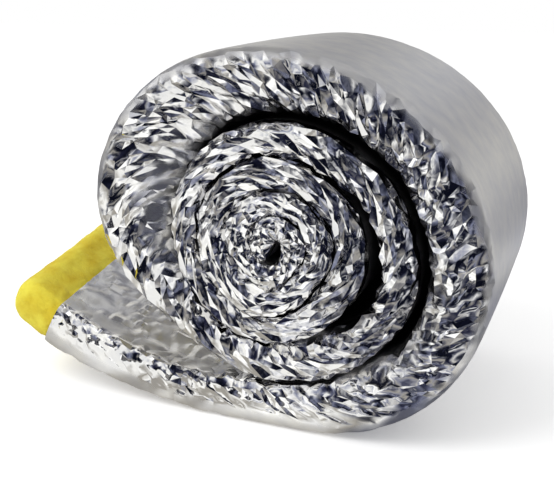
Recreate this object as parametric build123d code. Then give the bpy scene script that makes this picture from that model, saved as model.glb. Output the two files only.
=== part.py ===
"""A loose roll of glass wool blanket in a metallised film jacket, lying on its side.

The blanket is one long strip, wound about four turns round an open eye. Its turns are pressed thin
near the eye and stand apart on the right, and its free end trails to the left along the floor and
curls up. The film stops short of the strip's end, which is cut askew, so the yellow wool shows there.

The frame: X to the right, Y along the roll's axis, Z up. The origin is on the floor under the eye,
halfway along the roll. Lengths are in millimetres, angles in degrees.
"""

import math
import os

from build123d import *

# The blanket in its jacket
BLANKET_WIDTH = 305.0
BLANKET_THICKNESS = 50.0
EDGE_CHAMFER = 7.0

# The winding is set at four stations of each turn, here from the eye outwards: lower left, left,
# top and lower right. At a station the strip runs square to the radius.
STATION_ANGLES = (238.0, 165.0, 72.0, -38.0)
FULL_TURN = 360.0
EYE_RADIUS = 10.0
NOSE_ROUND_SHARE = 0.45

# The eye at the four stations, as shares of its radius
EYE_SHARES = (1.2, 1.1, 0.9, 0.9)
# How thick each turn is pressed, as shares of the blanket's thickness, from the eye outwards
PRESSED_SHARES = (
    (0.32, 0.34, 0.34, 0.44),
    (0.40, 0.48, 0.44, 0.48),
    (0.64, 0.62, 0.54, 0.60),
    (0.48, 0.58, 0.66, 0.70),
    (0.70, 1.62, 1.06, 1.19),
)
# How far each turn stands off the one inside it, as shares of the blanket's thickness
GAP_SHARES = (
    (0.04, 0.06, 0.04, 0.04),
    (0.08, 0.04, 0.08, 0.12),
    (0.04, 0.04, 0.06, 0.34),
    (0.10, 0.25, 0.22, 0.20),
)

# The foot, where the outermost turn comes down to the floor and runs out into the tail
FOOT_SHARE = 0.96
FOOT_THICKNESS = FOOT_SHARE * BLANKET_THICKNESS
FLOOR_RUN = 60.0

# The tail lifts off the floor in an arc and is cut askew, longer at the back
TAIL_RADIUS = 470.0
TAIL_SWEEP = 31.0
SKEW_ANGLE = 8.0

# The wool stands bare past the film's mouth and is tucked into it
BARE_LENGTH = 50.0
TUCK_LENGTH = 60.0
FILM_WALL = 1.5
FIT_CLEARANCE = 0.3
WOOL_CORNER_RADIUS = 16.0
WOOL_END_SHARE = 0.65
OFFCUT_SIZE = 250.0

# The film is creased across the ends of the outermost turn and of the tail. The pleats follow each
# other by an angle, round the eye and along the tail, and are uneven in place and depth by turns.
PLEAT_WIDTH = 16.0
PLEAT_DEPTH = 5.0
PLEAT_PITCH = 8.0
TAIL_PLEAT_PITCH = 3.4
TAIL_PLEAT_REACH = 14.0
PLEAT_SHIFTS = (0.0, 0.3, -0.2, 0.15, -0.3)
PLEAT_DEPTH_SHARES = (1.0, 0.6, 0.85)


def winding_radii():
    """Inner and outer radius of the strip at each station, from the eye outwards."""
    inner = [share * EYE_RADIUS for share in EYE_SHARES]
    outer = []
    for turn, row in enumerate(PRESSED_SHARES):
        for station, pressed_share in enumerate(row):
            if turn > 0:
                gap = GAP_SHARES[turn - 1][station] * BLANKET_THICKNESS
                inner.append(outer[-len(STATION_ANGLES)] + gap)
            outer.append(inner[len(outer)] + pressed_share * BLANKET_THICKNESS)
    return inner, outer


def winding_angles():
    """The angle of each station, falling from the eye outwards, the last turn's as in the table."""
    turns = len(PRESSED_SHARES)
    return [
        angle + FULL_TURN * (turns - 1 - turn) for turn in range(turns) for angle in STATION_ANGLES
    ]


def axis_height():
    """The eye's height: the winding rests on the foot with its lower left station's radius."""
    return FOOT_THICKNESS + winding_radii()[1][-len(STATION_ANGLES)]


def on_axis(angle, radius):
    """A point at a radius from the eye's centre."""
    return Vector(0, axis_height()) + Vector(radius, 0).rotate(Axis.Z, angle)


def wind_arcs(start_angle, end_angle, start_radius, end_radius):
    """Two arcs from one station to the next, tangent where they meet and square to the radii."""
    if start_radius == end_radius:
        return CenterArc(on_axis(end_angle, 0), end_radius, start_angle, end_angle - start_angle)
    short, long = sorted((start_radius, end_radius))
    spread = math.cos(math.radians(start_angle - end_angle))
    tight_radius = short * short / long
    flat_radius = (long + short) * (long - 2 * short * spread) / (2 * (short - (long + short) * spread))
    flat_first = start_radius < end_radius
    first, second = (flat_radius, tight_radius) if flat_first else (tight_radius, flat_radius)
    first_centre = on_axis(start_angle, start_radius - first)
    second_centre = on_axis(end_angle, end_radius - second)
    across = second_centre - first_centre if flat_first else first_centre - second_centre
    meeting_angle = math.degrees(math.atan2(across.Y, across.X))
    turned = (start_angle - meeting_angle) % FULL_TURN
    CenterArc(first_centre, first, start_angle, -turned)
    return CenterArc(
        second_centre, second, start_angle - turned, end_angle - start_angle + turned,
    )


def foot_point(start, level):
    """Where an arc that leaves the last station along the winding comes down to a level line."""
    angle = math.radians(STATION_ANGLES[-1])
    radius = (start.Y - level) / (1 + math.sin(angle))
    return Vector(start.X - radius * math.cos(angle), level)


def tail_point(radius, sweep):
    """A point of the tail, swept up from the end of the floor run."""
    angle = math.radians(sweep)
    return Vector(-FLOOR_RUN - radius * math.sin(angle), TAIL_RADIUS - radius * math.cos(angle))


def strip_side(radii, level, tail_radius, sweep):
    """One long side of the strip: the winding, the foot, the floor run and the tail."""
    angles = winding_angles()
    for k in range(len(radii) - 1):
        winding = wind_arcs(angles[k], angles[k + 1], radii[k], radii[k + 1])
    foot = TangentArc(winding @ 1, foot_point(winding @ 1, level), tangent=winding % 1)
    run = Line(foot @ 1, (-FLOOR_RUN, level))
    tail = TangentArc(run @ 1, tail_point(tail_radius, sweep), tangent=(-1, 0))
    return on_axis(angles[0], radii[0]), tail @ 1


def tail_end_plane(length):
    """The skew plane across the tail, a length along it from the film's mouth."""
    angle = math.radians(TAIL_SWEEP)
    along = Vector(-math.cos(angle), 0, math.sin(angle))
    up = Vector(math.sin(angle), 0, math.cos(angle))
    mouth = tail_point(TAIL_RADIUS - FOOT_THICKNESS / 2, TAIL_SWEEP)
    origin = Vector(mouth.X, 0, mouth.Y) + along * length
    return Plane(origin=origin, x_dir=up, z_dir=along.rotate(Axis((0, 0, 0), up), SKEW_ANGLE))


def make_offcut(length):
    """A block over the tail, from the skew plane outwards."""
    with BuildPart(tail_end_plane(length)) as offcut:
        Box(
            OFFCUT_SIZE, BLANKET_WIDTH + OFFCUT_SIZE, OFFCUT_SIZE,
            align=(Align.CENTER, Align.CENTER, Align.MIN),
        )
    return offcut.part


def sweep_past(length):
    """A sweep of the tail longer than a length by what the skew cut takes."""
    skew_reach = BLANKET_WIDTH * math.tan(math.radians(SKEW_ANGLE))
    return math.degrees((length + skew_reach) / TAIL_RADIUS)


def end_edges(solid):
    """The edges round the two ends of a strip, across its width."""
    levels = solid.edges().group_by(Axis.Y)
    return levels[0] + levels[-1]


def make_wound_strip():
    """The jacketed strip as wound, with its tail run on past the cut."""
    inner, outer = winding_radii()
    sweep = TAIL_SWEEP + sweep_past(BARE_LENGTH)
    with BuildPart() as strip:
        with BuildSketch(Plane.XZ):
            with BuildLine():
                nose_out, tail_out = strip_side(outer, 0, TAIL_RADIUS, sweep)
                nose_in, tail_in = strip_side(
                    inner, FOOT_THICKNESS, TAIL_RADIUS - FOOT_THICKNESS, sweep,
                )
                Line(nose_out, nose_in)
                Line(tail_out, tail_in)
            make_face()
        extrude(amount=BLANKET_WIDTH / 2, both=True)
        nose = (nose_out + nose_in) / 2
        nose_edges = strip.edges().filter_by(Axis.Y).sort_by_distance((nose.X, 0, nose.Y))
        fillet(nose_edges[:2], NOSE_ROUND_SHARE * (nose_out - nose_in).length)
        chamfer(end_edges(strip.part), EDGE_CHAMFER)
    return strip.part


def make_tongue(inset):
    """The strip's end alone, set in from the jacket's faces, from inside the tuck to past the cut."""
    start_sweep = TAIL_SWEEP - sweep_past(TUCK_LENGTH)
    end_sweep = TAIL_SWEEP + sweep_past(BARE_LENGTH)
    low_radius = TAIL_RADIUS - inset
    high_radius = TAIL_RADIUS - FOOT_THICKNESS + inset
    with BuildPart() as tongue:
        with BuildSketch(Plane.XZ):
            with BuildLine():
                low = RadiusArc(
                    tail_point(low_radius, start_sweep), tail_point(low_radius, end_sweep), low_radius,
                )
                high = RadiusArc(
                    tail_point(high_radius, start_sweep), tail_point(high_radius, end_sweep), high_radius,
                )
                Line(low @ 0, high @ 0)
                Line(low @ 1, high @ 1)
            make_face()
        extrude(amount=BLANKET_WIDTH / 2 - inset, both=True)
        split(bisect_by=tail_end_plane(-TUCK_LENGTH), keep=Keep.TOP)
    return tongue.part


def eased_radius(radii, angle):
    """A radius of the outermost turn at an angle, eased between the stations on either side of it."""
    stations = list(zip(STATION_ANGLES, radii[-len(STATION_ANGLES):]))
    for (start_angle, start), (end_angle, end) in zip(stations, stations[1:]):
        if start_angle >= angle >= end_angle:
            share = (start_angle - angle) / (start_angle - end_angle)
            return start + (end - start) * (1 - math.cos(math.pi * share)) / 2
    raise ValueError("the angle is not on the outermost turn")


def pleat_angles(start, end, pitch):
    """Angles of the pleats from one angle to another, each shifted a little off its place."""
    count = int((end - start) / pitch)
    shifts = len(PLEAT_SHIFTS)
    return [start + pitch * (k + 0.5 + PLEAT_SHIFTS[k % shifts]) for k in range(count)]


def pleat_lines():
    """Where the pleats run on the end faces: from a point of the strip's inner side to its outer."""
    inner, outer = winding_radii()
    lines = []
    for angle in pleat_angles(STATION_ANGLES[-1], STATION_ANGLES[0], PLEAT_PITCH):
        lines.append([on_axis(angle, eased_radius(radii, angle)) for radii in (inner, outer)])
    for sweep in pleat_angles(0, TAIL_PLEAT_REACH, TAIL_PLEAT_PITCH):
        lines.append([tail_point(TAIL_RADIUS - level, sweep) for level in (FOOT_THICKNESS, 0)])
    return lines


def make_pleats():
    """Wedges that crease both ends of the strip, from side to side of it."""
    profile_ends = ((1, 1), (1, -1), (-1, 0))
    with BuildPart() as pleats:
        for k, (start, end) in enumerate(pleat_lines()):
            depth = PLEAT_DEPTH * PLEAT_DEPTH_SHARES[k % len(PLEAT_DEPTH_SHARES)]
            run = end - start
            for out in (-1, 1):
                foot = (start.X, out * BLANKET_WIDTH / 2, start.Y)
                with BuildSketch(Plane(origin=foot, x_dir=(0, out, 0), z_dir=(run.X, 0, run.Y))):
                    with BuildLine():
                        Polyline([(u * depth, v * PLEAT_WIDTH) for u, v in profile_ends], close=True)
                    make_face()
                extrude(amount=run.length)
    return pleats.part


def make_jacket():
    """The wound strip, cut askew at the film's mouth, hollowed there for the wool, and creased."""
    with BuildPart() as hollow:
        add(make_tongue(FILM_WALL))
        chamfer(end_edges(hollow.part), EDGE_CHAMFER)
    with BuildPart() as jacket:
        add(make_wound_strip())
        add(make_offcut(0), mode=Mode.SUBTRACT)
        add(hollow.part, mode=Mode.SUBTRACT)
        add(make_pleats(), mode=Mode.SUBTRACT)
    return jacket.part


def make_wool():
    """The bare end of the wool, with the length of it that is tucked into the film's mouth."""
    with BuildPart() as wool:
        add(make_tongue(FILM_WALL + FIT_CLEARANCE))
        fillet(end_edges(wool.part), WOOL_CORNER_RADIUS)
        cut = tail_end_plane(BARE_LENGTH)
        split(bisect_by=cut, keep=Keep.BOTTOM)
        end_face = wool.faces().sort_by(Axis(cut.origin, cut.z_dir))[-1]
        chamfer(end_face.edges(), WOOL_END_SHARE * WOOL_CORNER_RADIUS)
    return wool.part


os.makedirs("parts", exist_ok=True)
export_step(make_jacket(), "parts/foil_jacket.step")
export_step(make_wool(), "parts/glass_wool_batt.step")
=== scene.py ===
"""The looks of a loose roll of glass wool blanket in a crinkled metallised film jacket.

The film is one irregular mesh of creased facets, dense round the two crumpled ends of the roll and
plain on its smooth side. The wool is a soft tongue with loose fibres, bare past the film's mouth.
Lengths are in metres, angles in degrees, in the frame of the solids.
"""

import math

import bmesh
import bpy
import numpy as np
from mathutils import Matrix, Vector, noise
from mathutils.geometry import delaunay_2d_cdt


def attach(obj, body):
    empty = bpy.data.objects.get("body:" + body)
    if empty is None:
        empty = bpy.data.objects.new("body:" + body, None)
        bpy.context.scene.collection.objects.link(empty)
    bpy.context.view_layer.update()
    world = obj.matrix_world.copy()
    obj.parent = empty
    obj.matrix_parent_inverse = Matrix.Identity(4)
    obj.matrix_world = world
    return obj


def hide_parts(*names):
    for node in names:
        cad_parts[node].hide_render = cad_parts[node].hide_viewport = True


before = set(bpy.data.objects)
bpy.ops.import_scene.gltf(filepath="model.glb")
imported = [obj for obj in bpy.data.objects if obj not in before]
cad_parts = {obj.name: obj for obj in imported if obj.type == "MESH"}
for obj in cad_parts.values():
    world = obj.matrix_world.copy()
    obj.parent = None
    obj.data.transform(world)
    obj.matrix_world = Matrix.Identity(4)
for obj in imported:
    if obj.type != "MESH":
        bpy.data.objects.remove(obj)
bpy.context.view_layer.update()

# The strip as it is wound in the solids: a row of shares for each turn, a share for each station
BLANKET_WIDTH = 0.305
BLANKET_THICKNESS = 0.050
EYE_RADIUS = 0.010
STATION_ANGLES = (238.0, 165.0, 72.0, -38.0)
STATIONS = len(STATION_ANGLES)
EYE_SHARES = (1.2, 1.1, 0.9, 0.9)
PRESSED_SHARES = (
    (0.32, 0.34, 0.34, 0.44),
    (0.40, 0.48, 0.44, 0.48),
    (0.64, 0.62, 0.54, 0.60),
    (0.48, 0.58, 0.66, 0.70),
    (0.70, 1.62, 1.06, 1.19),
)
GAP_SHARES = (
    (0.04, 0.06, 0.04, 0.04),
    (0.08, 0.04, 0.08, 0.12),
    (0.04, 0.04, 0.06, 0.34),
    (0.10, 0.25, 0.22, 0.20),
)
FOOT_THICKNESS = 0.048
FLOOR_RUN = 0.060
TAIL_RADIUS = 0.470
TAIL_MIDDLE = TAIL_RADIUS - FOOT_THICKNESS / 2
TAIL_SWEEP = 31.0
SKEW_ANGLE = 8.0
NOSE_LENGTH = 0.006
PATH_STEPS = 40
# The pleats across its ends, as in the solids, and how much shallower they are towards its sides
PLEAT_WIDTH, PLEAT_DEPTH = 0.016, 0.005
PLEAT_PITCH = 8.0
TAIL_PLEAT_PITCH, TAIL_PLEAT_REACH = 3.4, 14.0
PLEAT_SHIFTS = (0.0, 0.3, -0.2, 0.15, -0.3)
PLEAT_DEPTH_SHARES = (1.0, 0.6, 0.85)
PLEAT_RUN_OUT = 0.6

# How the film goes round the strip's long edges: its depth there for each turn and the tail
EDGE_DEPTH = (0.004, 0.006, 0.010, 0.014, 0.023, 0.010)
EDGE_SQUARENESS = 2.4
EDGE_STEPS = 16

# The film hangs slack into the gap inside each turn, by a share of the gap at each station
SLACK_SHARES = (
    (0.80, 0.65, 0.95, 0.75),
    (1.1, 1.1, 1.1, 1.1),
    (1.1, 1.1, 1.0, 0.8),
    (0.6, 0.5, 0.2, 0.0),
    (0.1, 1.0, 0.30, 0.0),
)
# Where the gap inside the outermost turn is closed along the bottom, from station to station
BOTTOM_CLOSED = (0.35, 0.80)
# The gap above the roll's foot: places past the last station, its height and the film's slack there
FOOT_PLACES = (0.025, 0.060, 0.110, 0.150)
FOOT_GAPS = (0.0098, 0.0087, 0.0057, 0.0025)
FOOT_SLACK = (0.8, 0.9, 0.6, 0.9)
# How far in from the ends the slack is full, for each turn and the tail, and where the turns touch
SLACK_DEPTH = (0.007, 0.010, 0.015, 0.026, 0.026, 0.026)
TOUCH_START, TOUCH_END = 0.055, 0.100
# The outermost turn swells a little between its ends, by station
SWELL = 0.002
SWELL_SHARES = (0.0, 1.0, 1.0, 0.4)
# The inner half of its end face is sunk on the left
RECESS, RECESS_POWER = 0.018, 1.5
RECESS_SHARES = (0.0, 0.9, 0.3, 0.0)
# That half is less crinkled there and at the lower right, and the whole face is a little calmer
# at the left and low down
CALM_SHARES = (0.3, 0.75, 0.35, 0.6)
CALM_ACROSS = 0.25, -0.6
CALM_ALL_SHARES = (0.15, 0.1, 0.0, 0.1)
# Long folds that sweep over the calm film: height, size, and for each set its shares and slant
SWEEP_FOLD, SWEEP_SIZE = 0.0028, 0.0095
SWEEPS = (((0.5, 1.0, 0.2, 0.0), 0.7), ((0.0, 0.0, 0.4, 1.0), -0.4))

# Soft folds across the tail's top: height and size, how far they run along it, from where to where
# they run across it and how they lean, and where they weaken and what is left of them at its end
TAIL_FOLD, TAIL_FOLD_SIZE, TAIL_FOLD_RUN = 0.0060, 0.0100, 0.110
TAIL_FOLD_START, TAIL_FOLD_END, TAIL_FOLD_LEAN = 0.014, 0.150, -0.55
TAIL_FOLD_STAY, TAIL_FOLD_FAR = 0.045, 0.15
FOLD_SEED, FOLD_COUNT = 12, 500
FOLD_KNOTS = np.random.default_rng(FOLD_SEED).uniform(-1, 1, FOLD_COUNT)
# The tail's underside sags towards the film's mouth
SAG, SAG_RUN = 0.007, 0.150
# Soft wrinkles all over the tail's top: height and size, and how near the mouth they end
WRINKLE, WRINKLE_SIZE = 0.0018, 0.014
MOUTH_CALM = 0.012
WRINKLE_SEED, WRINKLE_COUNTS = 13, (80, 40)
WRINKLE_KNOTS = np.random.default_rng(WRINKLE_SEED).uniform(-1, 1, WRINKLE_COUNTS)

# The film's facets, from the eye outwards, one value for each turn and the last for the tail:
# their size along and across the strip, how far rows and columns of them are folded up and down,
# how uneven they are, and how far their rows are sheared along the strip
FACET_ALONG = (0.0040, 0.0064, 0.0105, 0.0105, 0.0061, 0.0075)
FACET_ACROSS = (0.0032, 0.0038, 0.0044, 0.0056, 0.0095, 0.0055)
ROW_FOLD = (0.0006, 0.0009, 0.0011, 0.0010, 0.0012, 0.0006)
COLUMN_FOLD = (0.0005, 0.0006, 0.0009, 0.0013, 0.0021, 0.0005)
UNEVEN = (0.0008, 0.0010, 0.0012, 0.0013, 0.0020, 0.0005)
FACET_LEAN = (0.0, -0.5, -0.9, -1.0, -1.4, -0.6)
# The range of a fold's height, how often one turns the other way, and what the band's rim keeps of it
FOLD_RANGE, FLIP_CHANCE, RIM_SHARE = (0.3, 1.0), 0.2, 0.3
# Wider swells under the facets: their size and height
LUMP_SIZE = 0.026
LUMP_HEIGHT = (0.0004, 0.0012, 0.0020, 0.0026, 0.0016, 0.0010)
# The lattice of facets round an edge, with all of its hull in triangles, and its finer folds and creases
EDGE_ROWS = 9
LATTICE_STEPS, WHOLE_HULL = 4000, 0
FACET_JITTER = 0.42
FINE_FOLD = 0.0002
CREASE_ANGLE = 20.0
# Limits: corners that merge, points in one row, a normal without length, and what counts as the tip
MERGE_DISTANCE, SAME_ROW, NO_LENGTH, EDGE_TIP = 1e-7, 1e-6, 1e-12, 0.002
# Rows of plain film on the strip's outer and inner face, and how bright the tail's top is
SIDE_ROWS, TOP_ROWS = 14, 36
TOP_SHEEN = 0.30
# How far the crinkles run out onto the strip's two faces, and how uneven that is along it
INNER_START, INNER_FADE = 0.8, 0.060
OUTER_START = (0.8, 0.8, 0.8, 0.8, 0.30, 0.05)
OUTER_FADE = (0.020, 0.020, 0.020, 0.025, 0.014, 0.012)
OUTER_MORE = (0.0, 0.0, 0.0, 0.35)
FADE_SIZE, FADE_UNEVEN, FADE_POWER, FADE_LEAST = 0.014, 0.75, 1.8, 0.004
FLOOR_CLEARANCE = 0.0003
# Where the strip's two faces come into the open, and from how far in between the turns shade is painted into
# the film
OUTER_HIDDEN, INNER_HIDDEN, HIDDEN_RUN = 0.4, 0.140, 0.050
DEEP = 0.010, 0.045

# The bare wool: how far it reaches out of and into the film's mouth, how it is rounded off,
# how it swells out of the mouth and how lumpy it is
WOOL_LENGTH = 0.057
WOOL_TUCK = 0.012
WOOL_INSET = 0.002
WOOL_SIDE_ROUND = 0.013
WOOL_END_ROUND = 0.022
WOOL_PLAN_ROUND = 0.015
WOOL_FILL = 0.94
WOOL_SWELL_LENGTH = 0.012
WOOL_LUMP, WOOL_LUMP_RATE = 0.0012, 45.0
WOOL_FINE_SHARE, WOOL_FINE_RATE = 0.4, 3
WOOL_COLUMNS, WOOL_ROWS = 150, 40
WOOL_WELD = 1e-5
# Its loose fibres, with the range of their lengths, bends and lifts
FIBRE_COUNT, FIBRE_STEPS = 5000, 5
FIBRE_LENGTH, FIBRE_LIFT, FIBRE_WIDTH = 0.009, 0.0012, 0.00012
FIBRE_LENGTHS, FIBRE_BENDS, FIBRE_LIFTS = (0.4, 1.2), (-0.5, 0.5), (0.3, 1.0)
FIBRE_ARCH = 0.8

# The film's roughness, from which sheen on it is sharp, its two tones, and what is left of them in the gaps
# as painted shade
FILM_ROUGH_SMOOTH, FILM_ROUGH_CRINKLED, FILM_SHARP = 0.46, 0.07, 0.6
FILM_DEEP, FILM_PALE = (0.74, 0.74, 0.76), (0.86, 0.85, 0.83)
FILM_PATCHES = {"Scale": 45.0, "Detail": 4.0}
FILM_SPAN = 0.3, 0.7
FILM_GAP_SHADE = 0.2
# Streaks along the strip: how they are drawn out, their shade and relief, and the finest crumple
STREAK_SCALE, STREAK_SHADES = (6.0, 420.0, 1.0), (0.91, 1.06)
STREAKS = {"Scale": 1.0, "Detail": 3.0}
STREAK_BUMP = {"Strength": 0.035, "Distance": 0.001}
CRUMPLE_SCALE = 170.0
CRUMPLE_BUMP = {"Strength": 0.12, "Distance": 0.001}

# The wool's two tones and its felted relief
WOOL_DEEP, WOOL_PALE = (0.55, 0.41, 0.014), (0.68, 0.60, 0.055)
WOOL_PATCHES = {"Scale": 38.0, "Detail": 5.0}
WOOL_SPAN = 0.32, 0.68
WOOL_ROUGH = 0.95
FELT = {"Scale": 320.0, "Detail": 4.0}
FELT_BUMP = {"Strength": 0.35, "Distance": 0.002}

# The camera, from a fit to the photograph's outlines
PHOTO_WIDTH_PX = 554
CAMERA_FOCAL_PX = 850.0
SENSOR_WIDTH = 36.0
CAMERA_AZIMUTH = 21.72
CAMERA_ELEVATION = 16.73
CAMERA_DISTANCE = 0.8186
CAMERA_TARGET = (0.002, -0.1525, 0.202)

# The stage: the floor and how much it is lifted to white, the world, and one lamp
FLOOR_HALF = 8.0
FLOOR_TONE, FLOOR_ROUGH, FLOOR_LIFT = 0.93, 0.9, 0.18
WORLD_LEVEL = 0.95
KEY_WATTS, KEY_SIZE = 20.0, 1.2
KEY_PLACE, KEY_TARGET = (-0.9, -1.1, 1.7), (0, 0, 0.15)

# The surround that the film mirrors: a floor of rings, a dome and an apron before the roll, in tones
# from near black over blue grey and warm grey to white, blended from point to point
CARD_TONES = (
    (0.004, 0.005, 0.012),
    (0.018, 0.020, 0.045),
    (0.09, 0.095, 0.125),
    (0.25, 0.27, 0.385),
    (0.43, 0.41, 0.37),
    (1.6, 1.6, 1.56),
    (1.1, 1.1, 1.07),
)
CARD_GAMMA = 2.2
FLOOR_RINGS = (0.27, 0.36, 0.48, 0.64, 0.86, 1.2, 3.0)
DOME_RADIUS = 3.1
DOME_HEIGHTS = (0.0, 10.0, 21.0, 33.0, 45.0, 57.0, 70.0, 87.0)
SLICES = 28
CARD_LIFT, APRON_LIFT = 0.004, 0.0002
# Chances of each tone round the set, by azimuth from +X: behind the roll at its right, behind it, behind
# it at its left, before it at its right, before it far to the left, and elsewhere before it
GREY_SHARES, GREY_SECTOR = (0.13, 0.08, 0.12, 0.11, 0.30, 0.03, 0.23), 75.0
BACK_SHARES = (0.10, 0.07, 0.08, 0.08, 0.30, 0.05, 0.32)
LEFT_SHARES, LEFT_SECTOR = (0.16, 0.12, 0.14, 0.16, 0.34, 0.02, 0.06), 132.0
DARK_SHARES, DARK_SECTOR = (0.48, 0.12, 0.07, 0.08, 0.10, 0.07, 0.08), (-80.0, -12.0)
BRIGHT_SHARES, BRIGHT_SECTOR = (0.03, 0.02, 0.04, 0.09, 0.16, 0.13, 0.53), (-180.0, -152.0)
MIXED_SHARES = (0.60, 0.10, 0.07, 0.06, 0.10, 0.02, 0.05)
# On the floor: one warm grey round the tail, a painted shadow under it, bright before the roll at its left,
# calmer next to it
TAIL_SHADOW_SHARES, TAIL_SECTOR, TAIL_RINGS = (0.0, 0.0, 0.0, 0.0, 1.0, 0.0, 0.0), 145.0, 3
BRIGHT_NEAR, BRIGHT_RINGS = -94.0, 3
NEAR_SHARES, NEAR_RINGS = (0.05, 0.10, 0.10, 0.20, 0.35, 0.0, 0.20), 1
# On the dome: bright from this height on before the roll at its left, as behind it near the top
BRIGHT_HEIGHT, TOP_BRIGHT, TOP_HEIGHT = 30.0, -90.0, 56.0
# On the apron: its cells, its chances left and right of a turning place, and the tones of the rows
# that lie under the roll and the tail, left and right, a plain painted shadow in place of the floor's shade
APRON_CELL, APRON_CELLS, APRON_START = 0.030, (24, 8), (-0.40, -0.050)
APRON_SHARES = (0.0, 0.01, 0.03, 0.08, 0.22, 0.12, 0.54)
APRON_RIGHT_SHARES, APRON_TURN = (0.20, 0.08, 0.07, 0.10, 0.20, 0.11, 0.24), 0.070
APRON_UNDER, APRON_TAIL, APRON_TAIL_UNDER = 4, -0.130, 6
UNDER_SHADOW_TONES = 4, 2

WHITE = (1, 1, 1, 1)
# Random knots past the end of a field, and the seeds
KNOT_MARGIN = 3
SEED, CARD_SEED = 4711, 86


def ease(x, start, end):
    """A soft step from 0 at the start to 1 at the end."""
    t = np.clip((x - start) / (end - start), 0, 1)
    return t * t * (3 - 2 * t)


def fold_wave(place):
    """Even random waves along a line, between about -1 and 1."""
    step = np.floor(place).astype(int)
    share = ease(place - step, 0, 1)
    knots = np.take(FOLD_KNOTS, [step, step + 1], mode="wrap")
    return knots[0] * (1 - share) + knots[1] * share


def knot_field(knots, x, y):
    """Even random swells over a plane, between about -1 and 1."""
    i, j = np.floor(x).astype(int), np.floor(y).astype(int)
    a, b = ease(x - i, 0, 1), ease(y - j, 0, 1)
    i, j = i % (knots.shape[0] - 1), j % (knots.shape[1] - 1)
    low = knots[i, j] * (1 - a) + knots[i + 1, j] * a
    high = knots[i, j + 1] * (1 - a) + knots[i + 1, j + 1] * a
    return low * (1 - b) + high * b


def smooth_field(rng, x, y, size):
    """Random swells of a size over a plane, new for each call."""
    x, y = (x - x.min()) / size, (y - y.min()) / size
    counts = [int(place.max()) + KNOT_MARGIN for place in (x, y)]
    return knot_field(rng.uniform(-1, 1, counts), x, y)


def winding_radii():
    """Inner and outer radius of the strip at each station, from the eye outwards."""
    inner = [share * EYE_RADIUS for share in EYE_SHARES]
    outer = []
    for turn, row in enumerate(PRESSED_SHARES):
        for station, share in enumerate(row):
            if turn > 0:
                gap = GAP_SHARES[turn - 1][station] * BLANKET_THICKNESS
                inner.append(outer[-STATIONS] + gap)
            outer.append(inner[len(outer)] + share * BLANKET_THICKNESS)
    return inner, outer


def foot_arc(eye, radius, level):
    """The strip's side from the last station down to a level line."""
    start_angle = math.radians(STATION_ANGLES[-1])
    start = eye + radius * np.array([math.cos(start_angle), math.sin(start_angle)])
    bend = (start[1] - level) / (1 + math.sin(start_angle))
    centre = np.array([start[0] - bend * math.cos(start_angle), level + bend])
    angles = np.linspace(start_angle, -math.pi / 2, PATH_STEPS)
    return centre + bend * np.stack([np.cos(angles), np.sin(angles)], 1)


def tail_arc(radius, sweep):
    """The strip's side from the end of its floor run up along the tail."""
    angles = np.radians(np.linspace(0, sweep, PATH_STEPS))[1:]
    return np.stack([-FLOOR_RUN - radius * np.sin(angles), TAIL_RADIUS - radius * np.cos(angles)], 1)


def wound_sides(inner, outer, angles, sweep):
    """The strip's two sides: round the eye from station to station, onto the floor and up the tail."""
    eye = np.array([0.0, FOOT_THICKNESS + outer[-STATIONS]])
    share = np.linspace(0, 1, PATH_STEPS, endpoint=False)
    blend = (1 - np.cos(np.pi * share)) / 2
    sides = [[], []]
    for k in range(len(angles) - 1):
        turn = np.radians(angles[k] + (angles[k + 1] - angles[k]) * share)
        aim = np.stack([np.cos(turn), np.sin(turn)], 1)
        for side, radii in zip(sides, (inner, outer)):
            side.append(eye + aim * (radii[k] + (radii[k + 1] - radii[k]) * blend)[:, None])
    for side, radii, level in zip(sides, (inner, outer), (FOOT_THICKNESS, 0.0)):
        side.append(foot_arc(eye, radii[-1], level))
        side.append(tail_arc(TAIL_RADIUS - level, sweep))
    return [np.concatenate(side) for side in sides]


def pleat_angles(start, end, pitch):
    """Angles of the pleats from one angle to another, each shifted a little off its place."""
    count = int((end - start) / pitch)
    shifts = np.resize(PLEAT_SHIFTS, count)
    return start + pitch * (np.arange(count) + 0.5 + shifts)


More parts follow.
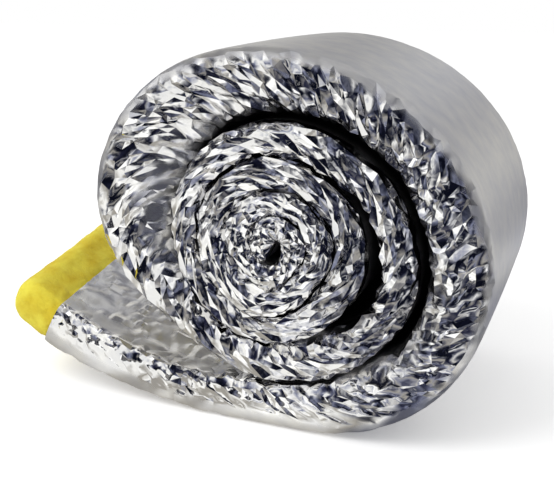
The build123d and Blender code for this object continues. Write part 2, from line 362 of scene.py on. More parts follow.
class Strip:
    """The wound strip: its two sides by length along it, from the eye to past the tail's end."""

    def __init__(self):
        inner, outer = winding_radii()
        turns = len(PRESSED_SHARES)
        angles = [a + 360.0 * (turns - 1 - turn) for turn in range(turns) for a in STATION_ANGLES]
        past_sweep = TAIL_SWEEP + math.degrees(BLANKET_WIDTH / TAIL_RADIUS)
        self.inner, self.outer = wound_sides(inner, outer, angles, past_sweep)
        middle = (self.inner + self.outer) / 2
        self.length = np.concatenate([[0], np.cumsum(np.linalg.norm(np.diff(middle, axis=0), axis=1))])
        at_stations = np.arange(len(angles)) * PATH_STEPS
        self.station_length = self.length[at_stations]
        self.mouth = self.length[-1] - math.radians(past_sweep - TAIL_SWEEP) * TAIL_MIDDLE
        self.tail_start = self.mouth - math.radians(TAIL_SWEEP) * TAIL_MIDDLE
        self.set_pleats(np.interp(np.arange(at_stations[-1] + 1), at_stations, angles))
        self.set_gaps(inner[:STATIONS])

    def set_pleats(self, wound):
        """Where the pleats are and how deep, from the angle at each step of the winding."""
        round_eye = pleat_angles(STATION_ANGLES[-1], STATION_ANGLES[0], PLEAT_PITCH)
        along_tail = np.radians(pleat_angles(0, TAIL_PLEAT_REACH, TAIL_PLEAT_PITCH))
        self.pleats = np.concatenate([
            np.interp(-round_eye, -wound, self.length[:len(wound)]),
            self.tail_start + along_tail * TAIL_MIDDLE,
        ])
        self.pleat_depths = PLEAT_DEPTH * np.resize(PLEAT_DEPTH_SHARES, len(self.pleats))

    def set_gaps(self, eye_radii):
        """The gap inside the strip, and the film's slack in it, by length along the strip."""
        gaps = eye_radii + [share * BLANKET_THICKNESS for row in GAP_SHARES for share in row]
        foot = self.station_length[-1] + np.array(FOOT_PLACES)
        self.gaps = [*self.station_length, *foot, self.tail_start], [*gaps, *FOOT_GAPS, 0.0]
        bottom, first = self.bottom_stations()
        closes = bottom + (first - bottom) * np.array(BOTTOM_CLOSED)
        place = len(self.station_length) - STATIONS
        self.slack = (
            [*np.insert(self.station_length, place, closes), *foot],
            [*np.insert(np.ravel(SLACK_SHARES), place, [1.0, 1.0]), *FOOT_SLACK],
        )

    def bottom_stations(self):
        """Lengths at the two stations between which the outermost turn starts, along the bottom."""
        return self.station_length[-STATIONS - 1:-STATIONS + 1]

    def skewed(self, s, y):
        """A length along the strip, sheared by the skew of its cut end."""
        ramp = np.clip((s - self.tail_start) / (self.mouth - self.tail_start), 0, None)
        return s + np.minimum(ramp, 1) * y * math.tan(math.radians(SKEW_ANGLE))

    def sides(self, s):
        """The inner and the outer point at lengths along the strip."""
        return [
            np.stack([np.interp(s, self.length, side[:, 0]), np.interp(s, self.length, side[:, 1])], 1)
            for side in (self.inner, self.outer)
        ]

    def points(self, s, y, across):
        """Points of the strip: across runs from -1 on its inner side to 1 on its outer side."""
        s = self.skewed(s, y)
        inner, outer = self.sides(s)
        inset = BLANKET_WIDTH / 2 - np.abs(y)
        across = across * np.sqrt(np.clip(s / NOSE_LENGTH, 0, 1))
        slack = np.interp(s, *self.slack)
        drop = slack * ease(inset / self.by_turn(s, SLACK_DEPTH), 0, 1)
        drop = np.maximum(drop, ease(inset, TOUCH_START, TOUCH_END)) * np.interp(s, *self.gaps)
        drop -= self.tail_folds(s, y, inset)
        swell = self.by_station(s, SWELL_SHARES) * (SWELL * (1 - (2 * y / BLANKET_WIDTH) ** 2))
        swell += SAG * ease(s, self.mouth - SAG_RUN, self.mouth)
        out = (outer - inner) / np.linalg.norm(outer - inner, axis=1, keepdims=True)
        shift = swell * np.clip(across, 0, 1) ** 2 - drop * np.clip(-across, 0, 1) ** 2
        flat = (inner + outer) / 2 + (outer - inner) / 2 * across[:, None] + out * shift[:, None]
        return np.stack([flat[:, 0], y, flat[:, 1]], 1)

    def tail_folds(self, s, y, inset):
        """Soft folds and wrinkles in the film on top of the tail, strongest where the roll presses on it."""
        on_tail = self.on_tail(s) * (1 - ease(s, self.mouth - MOUTH_CALM, self.mouth))
        weaken = self.tail_start + TAIL_FOLD_STAY
        past = ease(s, weaken, weaken + TAIL_FOLD_RUN)
        rise = ease(inset, 0, TAIL_FOLD_START)
        depth = rise * (1 - ease(inset, TAIL_FOLD_START, TAIL_FOLD_END))
        near = on_tail * (1 - (1 - TAIL_FOLD_FAR) * past) * depth
        wave = fold_wave((s + TAIL_FOLD_LEAN * inset) / TAIL_FOLD_SIZE)
        swells = knot_field(WRINKLE_KNOTS, s / WRINKLE_SIZE, (y + BLANKET_WIDTH) / WRINKLE_SIZE)
        wrinkle = 1 - 2 * np.abs(swells)
        return TAIL_FOLD * near * wave + WRINKLE * on_tail * rise * wrinkle

    def on_tail(self, s):
        """0 round the roll, 1 along the tail, eased where the strip leaves the floor."""
        return ease(s, self.tail_start - TAIL_FOLD_RUN, self.tail_start)

    def creases(self, s):
        """How deep the pleats are at lengths along the strip."""
        near = np.clip(1 - 2 * np.abs(s[:, None] - self.pleats) / PLEAT_WIDTH, 0, None)
        return (near * self.pleat_depths).max(1)

    def gap_shade_mask(self, s, y, outside):
        """How deep points lie between the turns, 0 where they are in the open and 1 far inside: the mask of
        painted shade.
        """
        bottom, first = self.bottom_stations()
        outer_end = bottom + OUTER_HIDDEN * (first - bottom)
        ends = np.where(outside, outer_end, self.station_length[-1] + INNER_HIDDEN)
        covered = 1 - ease(s - ends, 0, HIDDEN_RUN)
        return covered * ease(BLANKET_WIDTH / 2 - np.abs(y), *DEEP)

    def by_station(self, s, values):
        """A value given at the outermost turn's stations, none on the turns inside it or past it."""
        last = self.station_length[-len(values) - 1:]
        return np.interp(s, [*last, self.tail_start], [0, *values, 0])

    def by_turn(self, s, values):
        """A value given for each turn and the tail, blended along the strip."""
        middles = self.station_length[STATIONS // 2::STATIONS]
        return np.interp(s, [*middles, self.tail_start], values)

    def half_thickness(self, s):
        """Half the strip's thickness at lengths along it."""
        inner, outer = self.sides(s)
        return np.linalg.norm(outer - inner, axis=1) / 2


def edge_section(w, half, depth):
    """Where film points lie, a length w round the strip's edge from its tip.

    Gives their inset and across, and the length from the tip to where the edge ends.
    """
    turn = np.linspace(0, np.pi / 2, EDGE_STEPS)[None]
    power = 2 / EDGE_SQUARENESS
    inset = depth[:, None] * (1 - np.cos(turn) ** power)
    across = np.clip(np.sin(turn), 0, None) ** power
    lengths = np.hypot(np.diff(inset, axis=1), np.diff(across * half[:, None], axis=1))
    along = np.concatenate([np.zeros((len(w), 1)), np.cumsum(lengths, axis=1)], 1)
    reach = np.abs(w)
    step = np.clip((along <= reach[:, None]).sum(1) - 1, 0, EDGE_STEPS - 2)
    row = np.arange(len(w))
    share = np.clip((reach - along[row, step]) / (along[row, step + 1] - along[row, step]), 0, 1)
    across = np.broadcast_to(across, along.shape)
    at_inset = inset[row, step] + share * (inset[row, step + 1] - inset[row, step])
    at_across = across[row, step] + share * (across[row, step + 1] - across[row, step])
    past = np.clip(reach - along[:, -1], 0, None)
    return at_inset + past, at_across * np.sign(w), along[:, -1]


def vertex_normals(points, faces):
    """Unit normals of a triangle mesh's vertices."""
    corner = points[faces]
    face = np.cross(corner[:, 1] - corner[:, 0], corner[:, 2] - corner[:, 0])
    total = np.zeros_like(points)
    for k in range(3):
        np.add.at(total, faces[:, k], face)
    return total / np.maximum(np.linalg.norm(total, axis=1, keepdims=True), NO_LENGTH)


def split_faces(faces, count):
    """Each triangle in four: the new faces, and the two ends of each new midpoint."""
    edges = np.sort(np.concatenate([faces[:, [0, 1]], faces[:, [1, 2]], faces[:, [2, 0]]]), axis=1)
    ends, place = np.unique(edges, axis=0, return_inverse=True)
    ab, bc, ca = (count + place.reshape(3, -1))
    a, b, c = faces.T
    parts = [(a, ab, ca), (ab, b, bc), (ca, bc, c), (ab, bc, ca)]
    return np.concatenate([np.stack(part, 1) for part in parts]), ends


class EdgeBand:
    """The crumpled film round one long edge of the strip, as an irregular mesh of facets."""

    def __init__(self, strip, side, rng):
        self.strip, self.side = strip, side
        self.fade_knots = rng.uniform(-1, 1, int(strip.mouth / FADE_SIZE) + KNOT_MARGIN)
        self.set_lattice()
        u, v, row, column = self.scatter(rng)
        corners = [Vector(place) for place in zip(u, v)]
        _, _, faces, *_ = delaunay_2d_cdt(corners, [], [], WHOLE_HULL, MERGE_DISTANCE)
        faces = np.array([face for face in faces if len(face) == 3])
        s, w = self.unfold(u, v)
        points, crinkle, calm = self.place(s, w)
        normals = vertex_normals(points, faces)
        outward = self.outward(points, normals)
        normals = normals * outward
        height = self.heights(rng, s, row, column)
        height = height + smooth_field(rng, s, w, LUMP_SIZE) * strip.by_turn(s, LUMP_HEIGHT)
        height *= crinkle
        height[(u <= 0) | (u >= self.columns) | (np.abs(v) >= EDGE_ROWS)] *= RIM_SHARE
        points = points + normals * height[:, None]
        fine, ends = split_faces(faces, len(points))
        on_border = np.abs(v[ends]).min(1) >= EDGE_ROWS
        points, normals, self.crinkle, calm, self.s, w, self.u, self.v = (
            np.concatenate([part, part[ends].mean(1)])
            for part in (points, normals, crinkle, calm, s, w, u, v)
        )
        middles = slice(-len(ends), None)
        nudge = rng.uniform(-1, 1, len(ends)) * FINE_FOLD * self.crinkle[middles] * ~on_border
        points[middles] += normals[middles] * nudge[:, None]
        self.points = points + normals * self.sweeps(self.s, w, calm)[:, None]
        self.faces = fine if outward > 0 else fine[:, ::-1]

    def set_lattice(self):
        """How many facets lie along the strip up to each step of an even grid, a whole number in all."""
        self.grid = np.linspace(0, self.strip.mouth, LATTICE_STEPS)
        facets = np.diff(self.grid) / self.strip.by_turn(self.grid, FACET_ALONG)[1:]
        counts = np.concatenate([[0], np.cumsum(facets)])
        self.columns = int(counts[-1])
        self.counts = counts * (self.columns / counts[-1])

    def scatter(self, rng):
        """Facet corners on a jittered lattice, even along its borders."""
        column, row = np.meshgrid(np.arange(self.columns + 1), np.arange(-EDGE_ROWS, EDGE_ROWS + 1))
        column, row = column.ravel(), row.ravel()
        u = column + rng.uniform(-FACET_JITTER, FACET_JITTER, len(column))
        v = row + rng.uniform(-FACET_JITTER, FACET_JITTER, len(row))
        border = (column == 0) | (column == self.columns) | (np.abs(row) == EDGE_ROWS)
        u[border], v[border] = column[border], row[border]
        return u, v, row, column

    def unfold(self, u, v):
        """Lengths along the strip and round its edge of places on the lattice, which leans."""
        lattice = np.arange(self.columns + 1)
        upright = np.interp(u, lattice, np.interp(lattice, self.counts, self.grid))
        lean = self.strip.by_turn(upright, FACET_LEAN)
        room = np.minimum(u, self.columns - u) / EDGE_ROWS
        sheared = u + lean * v * np.clip(room, 0, 1) * (1 - np.abs(v) / EDGE_ROWS)
        s = np.interp(np.clip(sheared, 0, self.columns), self.counts, self.grid)
        return s, v * self.strip.by_turn(s, FACET_ACROSS)

    def place(self, s, w):
        """Film points before they are crumpled, how crumpled the film is there, and how calm."""
        strip = self.strip
        inset, across, cap = edge_section(w, strip.half_thickness(s), strip.by_turn(s, EDGE_DEPTH))
        sunk = strip.by_station(s, RECESS_SHARES) * np.clip(-across, 0, 1) ** RECESS_POWER
        pleat = strip.creases(s) * (1 - PLEAT_RUN_OUT * np.abs(across))
        y = self.side * (BLANKET_WIDTH / 2 - inset - RECESS * sunk - pleat)
        calm = ease(-across, -CALM_ACROSS[0], -CALM_ACROSS[1])
        calm_inside = calm * strip.by_station(s, CALM_SHARES)
        still = np.maximum(calm_inside, strip.by_station(s, CALM_ALL_SHARES))
        fade = self.fade(s, w, cap)
        return strip.points(s, y, across), (1 - fade) ** FADE_POWER * (1 - still), calm * (1 - fade)

    def fade(self, s, w, cap):
        """How far the crinkles have run out, 0 round the edge and 1 on the plain faces."""
        strip = self.strip
        wave = np.interp(s / FADE_SIZE, np.arange(len(self.fade_knots)), self.fade_knots)
        outer_fade = strip.by_turn(s, OUTER_FADE) * (1 + FADE_UNEVEN * wave)
        room = EDGE_ROWS * strip.by_turn(s, FACET_ACROSS) - cap
        reach = np.minimum(np.where(w > 0, outer_fade, INNER_FADE), room)
        outer_start = strip.by_turn(s, OUTER_START) + strip.by_station(s, OUTER_MORE)
        start = cap * np.where(w > 0, outer_start, INNER_START)
        return np.clip((np.abs(w) - start) / np.maximum(reach, FADE_LEAST), 0, 1)

    def outward(self, points, normals):
        """Sign that turns the mesh's normals out of the strip."""
        tip = np.abs(points[:, 1]) > BLANKET_WIDTH / 2 - EDGE_TIP
        return 1.0 if (normals[tip, 1] * self.side).mean() > 0 else -1.0

    def heights(self, rng, s, row, column):
        """How far each facet corner is folded out or in."""
        strip = self.strip
        size = len(s)
        flips = np.where(rng.random((2, size)) < FLIP_CHANCE, -1, 1)
        rows = np.where(row % 2, 1, -1) * flips[0] * rng.uniform(*FOLD_RANGE, size)
        columns = np.where(column % 2, 1, -1) * flips[1] * rng.uniform(*FOLD_RANGE, size)
        return (
            rows * strip.by_turn(s, ROW_FOLD) + columns * strip.by_turn(s, COLUMN_FOLD)
            + rng.uniform(-1, 1, size) * strip.by_turn(s, UNEVEN)
        )

    def sweeps(self, s, w, calm):
        """Long folds over the calm film, a set for each part of the outermost turn."""
        return sum(
            SWEEP_FOLD * calm * self.strip.by_station(s, shares) * fold_wave((w + slant * s) / SWEEP_SIZE)
            for shares, slant in SWEEPS
        )

    def border(self, v):
        """Vertices along one long border of the band, in order."""
        on = np.flatnonzero(np.abs(self.v - v) < SAME_ROW)
        return on[np.argsort(self.u[on])]


def middle_faces(strip, front, back, v, across, rows, start):
    """The plain film between the two edge bands on one face of the strip: points, faces, lengths."""
    near, far = front.border(v), back.border(v)
    s = (front.s[near] + back.s[far]) / 2
    y_near, y_far = front.points[near, 1], back.points[far, 1]
    shares = np.linspace(0, 1, rows + 1)[1:-1]
    lines = [near]
    points = []
    for k, share in enumerate(shares):
        y = y_near + (y_far - y_near) * share
        points.append(strip.points(s, y, np.full(len(s), across)))
        lines.append(start + k * len(s) + np.arange(len(s)))
    lines.append(far + len(front.points))
    faces = []
    for a, b in zip(lines, lines[1:]):
        quad = np.stack([a[:-1], a[1:], b[1:], b[:-1]], 1)
        faces.append(quad if across > 0 else quad[:, ::-1])
    return np.concatenate(points), np.concatenate(faces), np.tile(s, len(shares))


def film_mesh(points, polygons, lengths, values):
    """The film's mesh, with values at its points and their place along and across the strip as UV."""
    mesh = bpy.data.meshes.new("foil_film")
    mesh.from_pydata(points.tolist(), [], polygons)
    mesh.validate()
    for name, value in values.items():
        mesh.attributes.new(name, "FLOAT", "POINT").data.foreach_set("value", value)
    corner = np.zeros(len(mesh.loops), int)
    mesh.loops.foreach_get("vertex_index", corner)
    layer = mesh.uv_layers.new(name="strip")
    layer.data.foreach_set("uv", np.stack([lengths[corner], points[corner, 1]], 1).ravel())
    shade_smooth(mesh)
    mesh.set_sharp_from_angle(angle=math.radians(CREASE_ANGLE))
    return mesh


def make_jacket(strip, rng):
    """The film jacket: two crumpled edge bands joined by the strip's two plain faces."""
    front = EdgeBand(strip, -1, rng)
    back = EdgeBand(strip, 1, rng)
    points = [front.points, back.points]
    polygons = front.faces.tolist() + (back.faces + len(front.points)).tolist()
    crinkle = [front.crinkle, back.crinkle]
    lengths = [front.s, back.s]
    outside = [front.v > 0, back.v > 0]
    for v, across, rows in ((EDGE_ROWS, 1.0, SIDE_ROWS), (-EDGE_ROWS, -1.0, TOP_ROWS)):
        start = sum(len(part) for part in points)
        plain, quads, s = middle_faces(strip, front, back, v, across, rows, start)
        points.append(plain)
        polygons += quads.tolist()
        crinkle.append(np.zeros(len(plain)))
        lengths.append(s)
        outside.append(np.full(len(plain), across > 0))
    points, crinkle, lengths, outside = map(np.concatenate, (points, crinkle, lengths, outside))
    points[:, 2] = np.maximum(points[:, 2], FLOOR_CLEARANCE)
    on_top = TOP_SHEEN * strip.on_tail(lengths)
    on_top[:-len(plain)] = 0
    mesh = film_mesh(points, polygons, lengths, {
        "crinkle": crinkle,
        # How far the film is darkened deep between the turns: painted shade
        "deep": strip.gap_shade_mask(lengths, points[:, 1], outside),
        "sheen": np.maximum(crinkle, on_top),
    })
    return add_piece("foil_film", mesh, "foil_jacket")


def shade_smooth(mesh):
    """All faces of a mesh shaded smooth."""
    mesh.polygons.foreach_set("use_smooth", [True] * len(mesh.polygons))


def add_object(name, data):
    """A new object in the scene."""
    item = bpy.data.objects.new(name, data)
    bpy.context.scene.collection.objects.link(item)
    return item


def add_piece(name, mesh, node):
    """A piece of the object that stands for a solid."""
    piece = add_object(name, mesh)
    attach(piece, "root")
    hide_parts(node)
    return piece


def wool_reach(y):
    """How far the wool comes out of the film's mouth, less towards its rounded corners."""
    past = np.clip(np.abs(y) - (BLANKET_WIDTH / 2 - WOOL_INSET - WOOL_PLAN_ROUND), 0, WOOL_PLAN_ROUND)
    return WOOL_LENGTH - WOOL_PLAN_ROUND + np.sqrt(WOOL_PLAN_ROUND ** 2 - past ** 2)


def quarter_round(inset, depth):
    """Height of a rounded edge, from 0 at its tip to 1 from the given depth on."""
    t = 1 - np.clip(inset / depth, 0, 1)
    return np.sqrt(np.clip(1 - t * t, 0, 1))


def wool_points(strip, run, y, side):
    """Points of the wool's upper or lower skin, rounded off along its sides and its end."""
    inset = BLANKET_WIDTH / 2 - WOOL_INSET - np.abs(y)
    thick = quarter_round(inset, WOOL_SIDE_ROUND) * quarter_round(wool_reach(y) - run, WOOL_END_ROUND)
    fill = WOOL_FILL + (1 - WOOL_FILL) * ease(run, 0, WOOL_SWELL_LENGTH)
    return strip.points(strip.mouth + run, y, -side * thick * fill)


def make_wool(strip):
    """The bare end of the wool: a soft rounded tongue out of the film's mouth."""
    width = -np.cos(np.linspace(0, np.pi, WOOL_COLUMNS)) * (BLANKET_WIDTH / 2 - WOOL_INSET)
    back = 1 - np.sin(np.linspace(0, np.pi / 2, WOOL_ROWS))
    back, y = (part.ravel() for part in np.meshgrid(back, width, indexing="ij"))
    run = wool_reach(y) - (wool_reach(y) + WOOL_TUCK) * back
    points = np.concatenate([wool_points(strip, run, y, side) for side in (1, -1)])
    index = np.arange(WOOL_ROWS * WOOL_COLUMNS).reshape(WOOL_ROWS, WOOL_COLUMNS)
    corners = index[:-1, :-1], index[1:, :-1], index[1:, 1:], index[:-1, 1:]
    upper = np.stack([part.ravel() for part in corners], 1)
    polygons = np.concatenate([upper, upper[:, ::-1] + len(run)])
    mesh = bpy.data.meshes.new("wool_end")
    mesh.from_pydata(points.tolist(), [], polygons.tolist())
    mesh.validate()
    weld = bmesh.new()
    weld.from_mesh(mesh)
    bmesh.ops.remove_doubles(weld, verts=weld.verts, dist=WOOL_WELD)
    bmesh.ops.recalc_face_normals(weld, faces=weld.faces)
    for vertex in weld.verts:
        fine = noise.noise(vertex.co * WOOL_FINE_RATE * WOOL_LUMP_RATE)
        lump = noise.noise(vertex.co * WOOL_LUMP_RATE) + WOOL_FINE_SHARE * fine
        vertex.co += vertex.normal * lump * WOOL_LUMP
    weld.to_mesh(mesh)
    weld.free()
    shade_smooth(mesh)
    return add_piece("wool_end", mesh, "glass_wool_batt")


def make_fibres(wool, rng):
    """Loose ends of glass fibre that stand off the bare wool, as thin curved ribbons."""
    mesh = wool.data
    mesh.calc_loop_triangles()
    corner = np.zeros(len(mesh.loop_triangles) * 3, int)
    mesh.loop_triangles.foreach_get("vertices", corner)
    spots = np.zeros(len(mesh.vertices) * 3)
    mesh.vertices.foreach_get("co", spots)
    triangle = spots.reshape(-1, 3)[corner.reshape(-1, 3)]
    cross = np.cross(triangle[:, 1] - triangle[:, 0], triangle[:, 2] - triangle[:, 0])
    area = np.linalg.norm(cross, axis=1)
    pick = rng.choice(len(area), FIBRE_COUNT, p=area / area.sum())
    share = rng.dirichlet((1, 1, 1), FIBRE_COUNT)
    root = (triangle[pick] * share[:, :, None]).sum(1)
    normal = cross[pick] / area[pick, None]
    wander = rng.normal(size=(FIBRE_COUNT, 3))
    flat = wander - (wander * normal).sum(1, keepdims=True) * normal
    flat /= np.linalg.norm(flat, axis=1, keepdims=True)
    side = np.cross(normal, flat)
    length = FIBRE_LENGTH * rng.uniform(*FIBRE_LENGTHS, FIBRE_COUNT)[:, None]
    bend = rng.uniform(*FIBRE_BENDS, FIBRE_COUNT)[:, None]
    lift = FIBRE_LIFT * rng.uniform(*FIBRE_LIFTS, FIBRE_COUNT)[:, None]
    points = []
    for step in np.linspace(0, 1, FIBRE_STEPS):
        run = (flat * step + side * bend * step ** 2) * length
        middle = root + run + normal * lift * math.sin(math.pi * step * FIBRE_ARCH)
        points += [middle - side * FIBRE_WIDTH / 2, middle + side * FIBRE_WIDTH / 2]
    points = np.stack(points, 1).reshape(-1, 3)
    start = np.arange(FIBRE_COUNT) * 2 * FIBRE_STEPS
    faces = [
        np.stack([start + 2 * k + corner for corner in (0, 1, 3, 2)], 1)
        for k in range(FIBRE_STEPS - 1)
    ]
    fibres = bpy.data.meshes.new("wool_fibres")
    fibres.from_pydata(points.tolist(), [], np.concatenate(faces).tolist())
    return add_piece("wool_fibres", fibres, "glass_wool_batt")


def set_inputs(tree, node, values):
    """Inputs of a node: linked where the value is another node's output, constant where not."""
    for name, value in values.items():
        if isinstance(value, bpy.types.NodeSocket):
            tree.links.new(value, node.inputs[name])
        else:
            node.inputs[name].default_value = value


def add_node(tree, kind, values):
    """A new node with its inputs."""
    node = tree.nodes.new(kind)
    set_inputs(tree, node, values)
    return node


def attribute(tree, name):
    """A node that reads what the mesh carries at its points."""
    node = tree.nodes.new("ShaderNodeAttribute")
    node.attribute_name = name
    return node


def calculate(tree, operation, first, second):
    """Two values put together."""
    node = tree.nodes.new("ShaderNodeMath")
    node.operation = operation
    set_inputs(tree, node, {0: first, 1: second})
    return node.outputs[0]


def map_range(tree, value, low, high, top=1.0):
    """A value that goes from 0 to the top, as one that goes from low to high."""
    values = {"Value": value, "From Max": top, "To Min": low, "To Max": high}
    return add_node(tree, "ShaderNodeMapRange", values).outputs["Result"]


def noise_at(tree, place, values):
    """Soft noise over a place."""
    return add_node(tree, "ShaderNodeTexNoise", {"Vector": place, **values}).outputs["Fac"]


def two_tones(tree, patches, span, deep, pale):
    """Patches of noise as two tones that blend over a span."""
    ramp = add_node(tree, "ShaderNodeValToRGB", {"Fac": patches})
    for element, position, tone in zip(ramp.color_ramp.elements, span, (deep, pale)):
        element.position = position
        element.color = (*tone, 1)
    return ramp.outputs["Color"]


def new_material(name):
    """A node material, its node tree and its shader."""
    material = bpy.data.materials.new(name)
    material.use_nodes = True
    return material, material.node_tree, material.node_tree.nodes["Principled BSDF"]


def film_material():
    """Metallised film: bright and sharp where crinkled, satin and streaked where smooth, with painted shade
    between the turns.
    """
    material, tree, shader = new_material("metallised_film")
    crinkle, sheen, deep = (attribute(tree, name).outputs["Fac"] for name in ("crinkle", "sheen", "deep"))
    place = tree.nodes.new("ShaderNodeTexCoord").outputs["Object"]
    along = tree.nodes.new("ShaderNodeUVMap")
    along.uv_map = "strip"
    drawn_out = add_node(tree, "ShaderNodeMapping", {"Vector": along.outputs["UV"], "Scale": STREAK_SCALE})
    streak = noise_at(tree, drawn_out.outputs["Vector"], STREAKS)
    shade = map_range(tree, streak, *STREAK_SHADES)
    # Painted shade: the film's colour darkens deep between the turns
    painted_gap_shade = map_range(tree, deep, 1.0, FILM_GAP_SHADE)
    mix = tree.nodes.new("ShaderNodeMix")
    mix.data_type, mix.blend_type = "RGBA", "MULTIPLY"
    set_inputs(tree, mix, {
        "Factor": 1.0,
        "A": two_tones(tree, noise_at(tree, place, FILM_PATCHES), FILM_SPAN, FILM_DEEP, FILM_PALE),
        "B": calculate(tree, "MULTIPLY", shade, painted_gap_shade),
    })
    crumple = add_node(tree, "ShaderNodeTexVoronoi", {"Vector": place, "Scale": CRUMPLE_SCALE})
    bent = calculate(tree, "MULTIPLY", crumple.outputs["Distance"], crinkle)
    fine = add_node(tree, "ShaderNodeBump", {"Height": bent, **CRUMPLE_BUMP}).outputs["Normal"]
    lines = add_node(tree, "ShaderNodeBump", {"Height": streak, "Normal": fine, **STREAK_BUMP})
    set_inputs(tree, shader, {
        "Metallic": 1.0,
        "Base Color": mix.outputs["Result"],
        "Roughness": map_range(tree, sheen, FILM_ROUGH_SMOOTH, FILM_ROUGH_CRINKLED, FILM_SHARP),
        "Normal": lines.outputs["Normal"],
    })
    return material


def wool_material():
    """Yellow glass wool with paler and deeper patches."""
    material, tree, shader = new_material("glass_wool")
    place = tree.nodes.new("ShaderNodeTexCoord").outputs["Object"]
    felt = add_node(tree, "ShaderNodeBump", {"Height": noise_at(tree, place, FELT), **FELT_BUMP})
    set_inputs(tree, shader, {
        "Base Color": two_tones(tree, noise_at(tree, place, WOOL_PATCHES), WOOL_SPAN, WOOL_DEEP, WOOL_PALE),
        "Roughness": WOOL_ROUGH,
        "Normal": felt.outputs["Normal"],
    })
    return material


def aim(item, direction):
    """A camera or lamp turned to look along a direction."""
    item.rotation_mode = "QUATERNION"
    item.rotation_quaternion = direction.to_track_quat("-Z", "Y")


def make_camera():
    """The photograph's view."""
    data = bpy.data.cameras.new("camera")
    data.sensor_width = SENSOR_WIDTH
    data.lens = CAMERA_FOCAL_PX / PHOTO_WIDTH_PX * SENSOR_WIDTH
    camera = add_object("camera", data)
    a, e = math.radians(CAMERA_AZIMUTH), math.radians(CAMERA_ELEVATION)
    back = Vector((math.sin(a) * math.cos(e), -math.cos(a) * math.cos(e), math.sin(e)))
    camera.location = Vector(CAMERA_TARGET) + back * CAMERA_DISTANCE
    aim(camera, -back)
    bpy.context.scene.camera = camera


def seen_rays(tree):
    """1 for rays from the camera or a mirror or through glass, 0 for the rest."""
    ray = tree.nodes.new("ShaderNodeLightPath")
    total = ray.outputs["Is Camera Ray"]
    for kind in ("Is Glossy Ray", "Is Transmission Ray"):
        total = calculate(tree, "MAXIMUM", total, ray.outputs[kind])
    return total


def make_floor():
    """A plain pale floor that keeps the object's shadow."""
    mesh = bpy.data.meshes.new("floor")
    corners = [(x * FLOOR_HALF, y * FLOOR_HALF, 0) for x, y in ((-1, -1), (1, -1), (1, 1), (-1, 1))]
    mesh.from_pydata(corners, [], [(0, 1, 2, 3)])
    floor = add_object("floor", mesh)
    material, tree, shader = new_material("floor")
    set_inputs(tree, shader, {
        "Base Color": (FLOOR_TONE, FLOOR_TONE, FLOOR_TONE, 1),
        "Roughness": FLOOR_ROUGH,
        "Specular IOR Level": 0.0,
        "Emission Color": WHITE,
        "Emission Strength": calculate(tree, "MULTIPLY", seen_rays(tree), FLOOR_LIFT),
    })
    mesh.materials.append(material)


def random_tone(rng, shares):
    """One of the surround's tones, by the chances given."""
    return CARD_TONES[rng.choice(len(CARD_TONES), p=shares)]


def tone_ring(rng, place, bands, shares):
    """Bands of points round the set and their faces, each point with a random tone."""
    points = [place(band, 2 * math.pi * part / SLICES) for band in range(bands) for part in range(SLICES)]
    tones = []
    for k, point in enumerate(points):
        azimuth = math.degrees(math.atan2(point[1], point[0]))
        tones.append(random_tone(rng, shares(k // SLICES, azimuth)))
    faces = []
    for band in range(bands - 1):
        low, high = band * SLICES, (band + 1) * SLICES
        for part in range(SLICES):
            right = (part + 1) % SLICES
            faces.append([low + part, low + right, high + right, high + part])
    return points, faces, tones


def shares_round(azimuth):
    """Chances of each tone: dark before the roll at its right, bright far left, grey behind it."""
    if azimuth > LEFT_SECTOR:
        return LEFT_SHARES
    if azimuth > 0:
        return GREY_SHARES if azimuth < GREY_SECTOR else BACK_SHARES
    if DARK_SECTOR[0] < azimuth < DARK_SECTOR[1]:
        return DARK_SHARES
    return BRIGHT_SHARES if BRIGHT_SECTOR[0] < azimuth < BRIGHT_SECTOR[1] else MIXED_SHARES


def floor_shares(band, azimuth):
    """The same on the floor, plain round the tail as painted shadow, and calmer next to the roll."""
    # One warm grey near the tail: painted shadow, in place of the floor's shade under it
    if band <= TAIL_RINGS and abs(azimuth) > TAIL_SECTOR:
        return TAIL_SHADOW_SHARES
    if band <= BRIGHT_RINGS and azimuth < BRIGHT_NEAR:
        return BRIGHT_SHARES
    return NEAR_SHARES if band <= NEAR_RINGS else shares_round(azimuth)


def dome_shares(band, azimuth):
    """The same on the dome, brighter high up."""
    if azimuth < TOP_BRIGHT and DOME_HEIGHTS[band] > BRIGHT_HEIGHT:
        return BRIGHT_SHARES
    return BACK_SHARES if DOME_HEIGHTS[band] > TOP_HEIGHT else shares_round(azimuth)


def on_floor(band, angle):
    """A point of the surround's floor."""
    return FLOOR_RINGS[band] * math.cos(angle), FLOOR_RINGS[band] * math.sin(angle), CARD_LIFT


def on_dome(band, angle):
    """A point of the surround's dome."""
    height = math.radians(DOME_HEIGHTS[band])
    out = DOME_RADIUS * math.cos(height)
    return out * math.cos(angle), out * math.sin(angle), DOME_RADIUS * math.sin(height)


def apron(rng):
    """The floor before the object, pale to the left, dark to the right, and under its edge a painted shadow.
    """
    columns, rows = APRON_CELLS
    points, faces, tones = [], [], []
    for row in range(rows + 1):
        for column in range(columns + 1):
            x, y = APRON_START[0] + column * APRON_CELL, APRON_START[1] - row * APRON_CELL
            right = x > APRON_TURN
            points.append((x, y, APRON_LIFT))
            tone = random_tone(rng, APRON_RIGHT_SHARES if right else APRON_SHARES)
            # Rows under the roll and the tail: painted shadow, one plain grey in place of the floor's shade
            if row < (APRON_TAIL_UNDER if x < APRON_TAIL else APRON_UNDER):
                tone = CARD_TONES[UNDER_SHADOW_TONES[right and row > 0]]
            tones.append(tone)
            if row < rows and column < columns:
                k = row * (columns + 1) + column
                faces.append([k, k + columns + 1, k + columns + 2, k + 1])
    return points, faces, tones


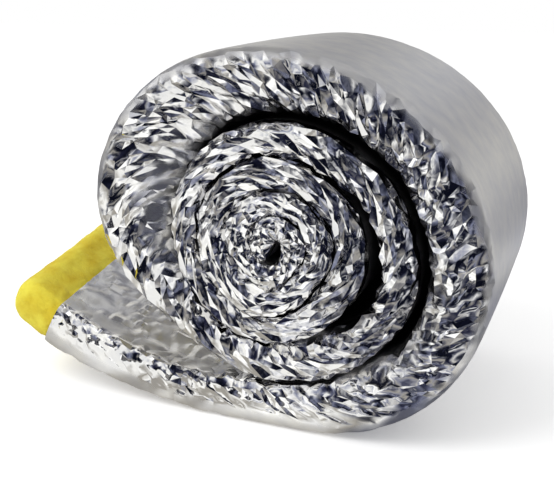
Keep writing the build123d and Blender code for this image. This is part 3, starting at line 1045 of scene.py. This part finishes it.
def cards_material():
    """The surround's tones as light, blended evenly to the eye."""
    material = bpy.data.materials.new("cards")
    material.use_nodes = True
    tree = material.node_tree
    tree.nodes.clear()
    tone = attribute(tree, "tone").outputs["Color"]
    gamma = add_node(tree, "ShaderNodeGamma", {"Color": tone, "Gamma": CARD_GAMMA})
    glow = add_node(tree, "ShaderNodeEmission", {"Color": gamma.outputs["Color"]})
    add_node(tree, "ShaderNodeOutputMaterial", {"Surface": glow.outputs["Emission"]})
    return material


def make_cards(rng):
    """A dark, grey and warm surround of blended tones, seen only in the film's reflections."""
    points, faces, tones = [], [], []
    for more_points, more_faces, more_tones in (
        tone_ring(rng, on_floor, len(FLOOR_RINGS), floor_shares),
        tone_ring(rng, on_dome, len(DOME_HEIGHTS), dome_shares),
        apron(rng),
    ):
        faces += [[len(points) + k for k in face] for face in more_faces]
        points += more_points
        tones += more_tones
    mesh = bpy.data.meshes.new("cards")
    mesh.from_pydata(points, [], faces)
    colours = np.concatenate([np.array(tones) ** (1 / CARD_GAMMA), np.ones((len(tones), 1))], 1)
    mesh.attributes.new("tone", "FLOAT_COLOR", "POINT").data.foreach_set("color", colours.ravel())
    mesh.materials.append(cards_material())
    cards = add_object("cards", mesh)
    cards.visible_camera = False
    cards.visible_diffuse = False
    cards.visible_shadow = False


def make_world():
    """A white world, a little dimmer as a light than as it is seen."""
    world = bpy.data.worlds.new("studio")
    bpy.context.scene.world = world
    world.use_nodes = True
    tree = world.node_tree
    tree.nodes.clear()
    strength = map_range(tree, seen_rays(tree), WORLD_LEVEL, 1.0)
    background = add_node(tree, "ShaderNodeBackground", {"Color": WHITE, "Strength": strength})
    add_node(tree, "ShaderNodeOutputWorld", {"Surface": background.outputs["Background"]})


def make_lamp():
    """One large soft lamp, which the film doesn't mirror."""
    data = bpy.data.lights.new("key", "AREA")
    data.energy = KEY_WATTS
    data.size = KEY_SIZE
    lamp = add_object("key", data)
    lamp.location = KEY_PLACE
    lamp.visible_glossy = False
    aim(lamp, Vector(KEY_TARGET) - lamp.location)


rng = np.random.default_rng(SEED)
strip = Strip()
jacket = make_jacket(strip, rng)
jacket.data.materials.append(film_material())
wool = make_wool(strip)
wool_skin = wool_material()
wool.data.materials.append(wool_skin)
fibres = make_fibres(wool, rng)
fibres.data.materials.append(wool_skin)
make_floor()
make_cards(np.random.default_rng(CARD_SEED))
make_world()
make_lamp()
make_camera()

bpy.context.scene.view_settings.view_transform = "Standard"
